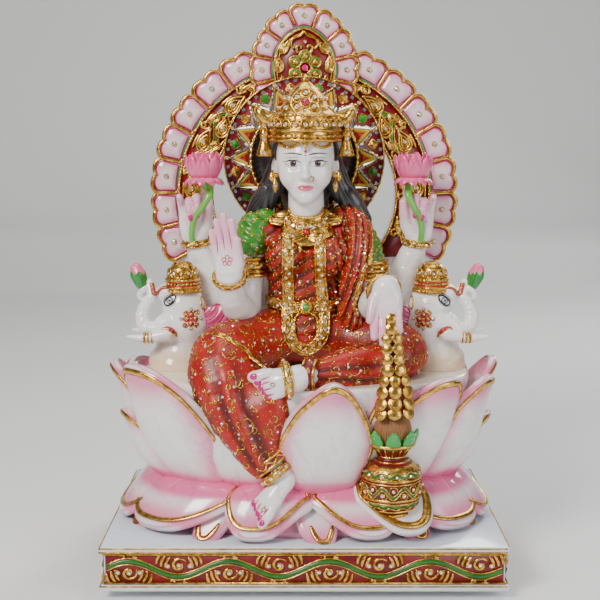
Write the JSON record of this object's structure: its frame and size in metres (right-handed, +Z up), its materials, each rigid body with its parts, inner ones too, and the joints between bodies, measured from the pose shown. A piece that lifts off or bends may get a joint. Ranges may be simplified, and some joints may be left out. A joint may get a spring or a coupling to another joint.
{
  "type": "hindu deity statue",
  "caption": "Painted and gilded marble shrine figure of a four-armed goddess seated on a lotus throne, with elephants, a pot of coins and a pierced halo; it stands on a rectangular plinth.",
  "frame": {"origin": "centre of the plinth's underside", "axes": "+Z up through the crown, +X to the right of someone facing the figure, the figure looks along -Y"},
  "size_m": [0.266, 0.1758, 0.3855],
  "materials": {
    "marble_white": "polished white marble with a soft pink blush",
    "marble_pink": "polished white marble, airbrushed pink towards its edges, with gold rims",
    "gold_leaf": "carved marble under burnished gold leaf, set with clear stones",
    "red_paint": "glossy red enamel paint on marble with fine gold scrolls",
    "green_paint": "glossy green enamel paint on marble with gold curls",
    "black_paint": "satin black enamel paint on marble",
    "flower_pink": "glossy pink paint on marble, darker at the tips",
    "coir_brown": "matt brown paint over a fibrous carved husk",
    "steel_pin": "plain drawn rod"
  },
  "bodies": {
    "root": {"anklet_folded": "gold_leaf", "anklet_hanging": "gold_leaf", "arm_front_left": "marble_white", "arm_front_right": "marble_white", "arm_rear_left": "marble_white", "arm_rear_right": "marble_white", "bangle_front_left": "gold_leaf", "bangle_front_right": "gold_leaf", "bangle_rear_left": "gold_leaf", "bangle_rear_right": "gold_leaf", "coconut": "coir_brown", "coin_cascade": "gold_leaf", "crown": "gold_leaf", "crown_tassel_left": "gold_leaf", "crown_tassel_right": "gold_leaf", "elephant_cap_left": "gold_leaf", "elephant_cap_right": "gold_leaf", "elephant_left": "marble_white", "elephant_right": "marble_white", "foot_folded": "marble_white", "foot_hanging": "marble_white", "hair": "black_paint", "halo_crest": "gold_leaf", "halo_dowel_left": "steel_pin", "halo_dowel_right": "steel_pin", "halo_slab": "marble_pink", "head": "marble_white", "held_lotus_left": "flower_pink", "held_lotus_right": "flower_pink", "kalash_pot": "red_paint", "lap_sari": "red_paint", "long_garland": "gold_leaf", "lotus_bud_left": "green_paint", "lotus_bud_right": "green_paint", "lotus_core": "marble_white", "mango_leaves": "green_paint", "necklace": "gold_leaf", "petal_front_centre": "marble_pink", "petal_front_left": "marble_pink", "petal_front_right": "marble_pink", "petal_low_left": "marble_pink", "petal_low_right": "marble_pink", "petal_outer_right": "marble_pink", "petal_side_left": "marble_pink", "petal_side_right": "marble_pink", "plinth": "marble_white", "pot_tray": "marble_pink", "skirt_petal_1": "marble_pink", "skirt_petal_2": "marble_pink", "skirt_petal_3": "marble_pink", "skirt_petal_4": "marble_pink", "skirt_petal_5": "marble_pink", "skirt_petal_6": "marble_pink", "sleeve_left": "green_paint", "sleeve_right": "green_paint", "sun_disc": "red_paint", "torso": "red_paint", "waist_belt": "gold_leaf"}
  },
  "joints": []
}
